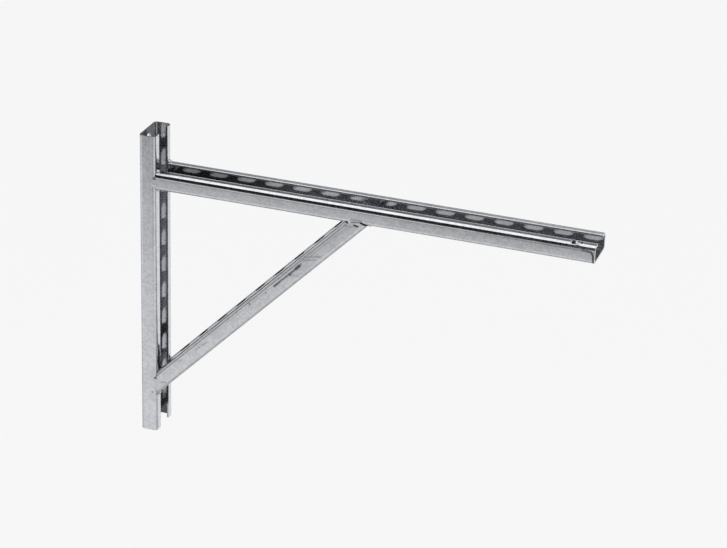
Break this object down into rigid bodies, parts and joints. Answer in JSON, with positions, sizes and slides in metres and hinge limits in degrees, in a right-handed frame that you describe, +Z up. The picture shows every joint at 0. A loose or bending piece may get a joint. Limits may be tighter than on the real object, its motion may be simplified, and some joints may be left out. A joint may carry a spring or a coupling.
{
  "type": "channel wall bracket",
  "caption": "Wall bracket welded from slotted, lipped steel channel: an upright, a horizontal arm with its open side up, and a sloping brace between them.",
  "frame": {"origin": "on the wall face, on the centre line, one slot pitch below the upright's top end, where the web between two slots is whole", "axes": "+X out from the wall along the arm, +Y across the channel, +Z up along the upright"},
  "size_m": [0.468, 0.0428, 0.33],
  "materials": {
    "galvanised_steel": "bright galvanised, satin with faint streaks",
    "weld_metal": "galvanised weld bead, dull"
  },
  "bodies": {
    "root": {"upright_channel": "galvanised_steel", "arm_channel": "galvanised_steel", "brace_channel": "galvanised_steel", "arm_welds": "weld_metal", "brace_foot_welds": "weld_metal", "brace_head_welds": "weld_metal"}
  },
  "joints": []
}
